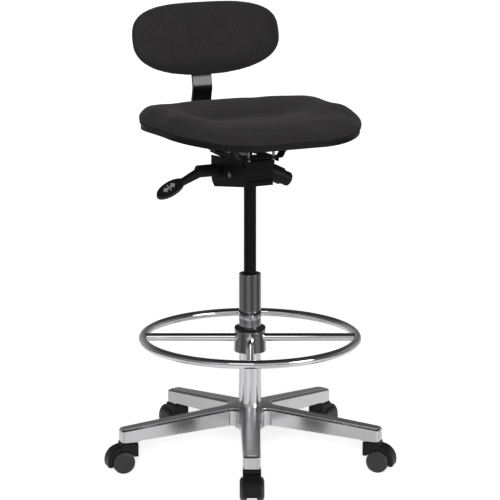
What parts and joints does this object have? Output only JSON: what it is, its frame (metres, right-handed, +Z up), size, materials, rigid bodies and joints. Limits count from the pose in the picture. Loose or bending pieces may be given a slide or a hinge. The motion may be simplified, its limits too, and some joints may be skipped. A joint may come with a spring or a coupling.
{
  "type": "drafting chair",
  "caption": "Height-adjustable drafting chair with an upholstered seat and oval backrest, a gas lift, a foot ring and a star base on twin-wheel casters.",
  "frame": {"origin": "on the floor, under the column's axis", "axes": "+Z up along the column; the seat's front faces -Y; the height lever is on the -X side"},
  "size_m": [0.6448, 0.6477, 1.0194],
  "materials": {
    "polished_aluminium": "polished die-casting",
    "chrome": "bright chrome plate",
    "bright_steel": "zinc-plated steel",
    "black_steel": "black powder coat",
    "black_gloss_steel": "semi-gloss black paint",
    "black_plastic": "fine moulded texture",
    "wheel_plastic": "satin moulded plastic",
    "white_plastic": "natural acetal",
    "red_button": "moulded cap",
    "seat_fabric": "plain black woven upholstery"
  },
  "bodies": {
    "base": {"base_star": "polished_aluminium", "column_tube": "chrome", "column_bush": "black_plastic", "thrust_bearing": "bright_steel"},
    "spindle": {"piston_rod": "chrome", "bearing_washer": "bright_steel", "rod_clip": "bright_steel"},
    "lift": {"gas_cylinder": "black_gloss_steel", "cylinder_guide": "white_plastic", "mech_housing": "black_steel", "taper_socket": "black_steel", "front_pivot_pin": "black_steel", "rear_pivot_pin": "bright_steel", "lever_brackets": "black_steel", "lever_pins": "bright_steel", "tilt_spring": "bright_steel"},
    "release": {"release_button": "red_button"},
    "height_lever": {"height_lever_shaft": "bright_steel", "height_lever_grip": "black_plastic"},
    "tilt_lever": {"tilt_lever_shaft": "bright_steel", "tilt_lever_grip": "black_plastic"},
    "back_arm": {"back_bracket": "black_steel", "lock_sector": "bright_steel", "link_pins": "bright_steel", "back_bar": "black_gloss_steel", "back_bar_bolts": "bright_steel"},
    "backrest": {"backrest_shell": "black_plastic", "backrest_cushion": "seat_fabric", "backrest_sleeve": "black_plastic"},
    "back_knob": {"height_knob": "black_plastic"},
    "seat": {"seat_plate": "black_steel", "seat_shell": "black_plastic", "seat_cushion": "seat_fabric", "seat_bolts": "bright_steel"},
    "footring": {"footring_hoop": "chrome", "footring_spokes": "chrome", "footring_hub": "chrome", "footring_collet": "black_plastic"},
    "ring_nut": {"footring_nut": "black_plastic"},
    "caster_1": {"caster_1_stem_and_axle": "bright_steel", "caster_1_hood": "black_plastic"},
    "caster_1_left_wheel": {"caster_1_wheel_left": "wheel_plastic"},
    "caster_1_right_wheel": {"caster_1_wheel_right": "wheel_plastic"},
    "caster_2": {"caster_2_stem_and_axle": "bright_steel", "caster_2_hood": "black_plastic"},
    "caster_2_left_wheel": {"caster_2_wheel_left": "wheel_plastic"},
    "caster_2_right_wheel": {"caster_2_wheel_right": "wheel_plastic"},
    "caster_3": {"caster_3_stem_and_axle": "bright_steel", "caster_3_hood": "black_plastic"},
    "caster_3_left_wheel": {"caster_3_wheel_left": "wheel_plastic"},
    "caster_3_right_wheel": {"caster_3_wheel_right": "wheel_plastic"},
    "caster_4": {"caster_4_stem_and_axle": "bright_steel", "caster_4_hood": "black_plastic"},
    "caster_4_left_wheel": {"caster_4_wheel_left": "wheel_plastic"},
    "caster_4_right_wheel": {"caster_4_wheel_right": "wheel_plastic"},
    "caster_5": {"caster_5_stem_and_axle": "bright_steel", "caster_5_hood": "black_plastic"},
    "caster_5_left_wheel": {"caster_5_wheel_left": "wheel_plastic"},
    "caster_5_right_wheel": {"caster_5_wheel_right": "wheel_plastic"}
  },
  "joints": [
    {"name": "seat_swivel", "type": "hinge", "parent": "base", "child": "spindle", "pos_m": [0, 0, 0.075], "axis": [0, 0, 1], "continuous": true},
    {"name": "seat_height", "type": "slide", "parent": "spindle", "child": "lift", "axis": [0, 0, 1], "range_m": [-0.185, 0]},
    {"name": "height_lever", "type": "hinge", "parent": "lift", "child": "height_lever", "pos_m": [-0.0268, 0.09, 0.655], "axis": [0, 1, 0], "range_deg": [0, 6], "stiffness_Nm_per_rad": 6, "springref_deg": -8.59},
    {"name": "gas_release", "type": "slide", "parent": "lift", "child": "release", "axis": [0, 0, -1], "range_m": [0, 0.0031]},
    {"name": "tilt_lock_lever", "type": "hinge", "parent": "lift", "child": "tilt_lever", "pos_m": [0.0268, 0.09, 0.655], "axis": [0, -1, 0], "range_deg": [0, 6]},
    {"name": "back_tilt", "type": "hinge", "parent": "lift", "child": "back_arm", "pos_m": [0, 0.031, 0.654], "axis": [-1, 0, 0], "range_deg": [0, 15], "deforming": ["tilt_spring"]},
    {"name": "seat_tilt", "type": "hinge", "parent": "lift", "child": "seat", "pos_m": [0, -0.035, 0.685], "axis": [-1, 0, 0], "range_deg": [0, 5]},
    {"name": "backrest_height", "type": "slide", "parent": "back_arm", "child": "backrest", "axis": [0, 0.2079, 0.9781], "range_m": [-0.03, 0.03]},
    {"name": "back_knob_turn", "type": "hinge", "parent": "backrest", "child": "back_knob", "pos_m": [0, 0.26183, 0.9237], "axis": [0, -0.9781, 0.2079], "range_deg": [-180, 0]},
    {"name": "footring_height", "type": "slide", "parent": "base", "child": "footring", "axis": [0, 0, 1], "range_m": [-0.12, 0.1]},
    {"name": "footring_nut_turn", "type": "hinge", "parent": "footring", "child": "ring_nut", "pos_m": [0, 0, 0.306], "axis": [0, 0, 1], "range_deg": [0, 180]},
    {"name": "caster_1_swivel", "type": "hinge", "parent": "base", "child": "caster_1", "pos_m": [-0.12671, -0.25751, 0.08], "axis": [0, 0, 1], "continuous": true},
    {"name": "caster_1_left_spin", "type": "hinge", "parent": "caster_1", "child": "caster_1_left_wheel", "pos_m": [-0.13378, -0.27187, 0.025], "axis": [0.8973, -0.4415, 0], "continuous": true},
    {"name": "caster_1_right_spin", "type": "hinge", "parent": "caster_1", "child": "caster_1_right_wheel", "pos_m": [-0.13378, -0.27187, 0.025], "axis": [0.8973, -0.4415, 0], "continuous": true},
    {"name": "caster_2_swivel", "type": "hinge", "parent": "base", "child": "caster_2", "pos_m": [0.20575, -0.20009, 0.08], "axis": [0, 0, 1], "continuous": true},
    {"name": "caster_2_left_spin", "type": "hinge", "parent": "caster_2", "child": "caster_2_left_wheel", "pos_m": [0.21722, -0.21124, 0.025], "axis": [0.6972, 0.7169, 0], "continuous": true},
    {"name": "caster_2_right_spin", "type": "hinge", "parent": "caster_2", "child": "caster_2_right_wheel", "pos_m": [0.21722, -0.21124, 0.025], "axis": [0.6972, 0.7169, 0], "continuous": true},
    {"name": "caster_3_swivel", "type": "hinge", "parent": "base", "child": "caster_3", "pos_m": [0.25388, 0.13385, 0.08], "axis": [0, 0, 1], "continuous": true},
    {"name": "caster_3_left_spin", "type": "hinge", "parent": "caster_3", "child": "caster_3_left_wheel", "pos_m": [0.26803, 0.14131, 0.025], "axis": [-0.4664, 0.8846, 0], "continuous": true},
    {"name": "caster_3_right_spin", "type": "hinge", "parent": "caster_3", "child": "caster_3_right_wheel", "pos_m": [0.26803, 0.14131, 0.025], "axis": [-0.4664, 0.8846, 0], "continuous": true},
    {"name": "caster_4_swivel", "type": "hinge", "parent": "base", "child": "caster_4", "pos_m": [-0.04885, 0.28281, 0.08], "axis": [0, 0, 1], "continuous": true},
    {"name": "caster_4_left_spin", "type": "hinge", "parent": "caster_4", "child": "caster_4_left_wheel", "pos_m": [-0.05157, 0.29858, 0.025], "axis": [-0.9854, -0.1702, 0], "continuous": true},
    {"name": "caster_4_right_spin", "type": "hinge", "parent": "caster_4", "child": "caster_4_right_wheel", "pos_m": [-0.05157, 0.29858, 0.025], "axis": [-0.9854, -0.1702, 0], "continuous": true},
    {"name": "caster_5_swivel", "type": "hinge", "parent": "base", "child": "caster_5", "pos_m": [-0.28407, 0.04093, 0.08], "axis": [0, 0, 1], "continuous": true},
    {"name": "caster_5_left_spin", "type": "hinge", "parent": "caster_5", "child": "caster_5_left_wheel", "pos_m": [-0.2999, 0.04322, 0.025], "axis": [-0.1426, -0.9898, 0], "continuous": true},
    {"name": "caster_5_right_spin", "type": "hinge", "parent": "caster_5", "child": "caster_5_right_wheel", "pos_m": [-0.2999, 0.04322, 0.025], "axis": [-0.1426, -0.9898, 0], "continuous": true}
  ],
  "couplings": [
    {"joint": "gas_release", "follows": "height_lever", "m_per_rad": 0.0268},
    {"joint": "seat_tilt", "follows": "back_tilt", "ratio": 0.33333}
  ]
}
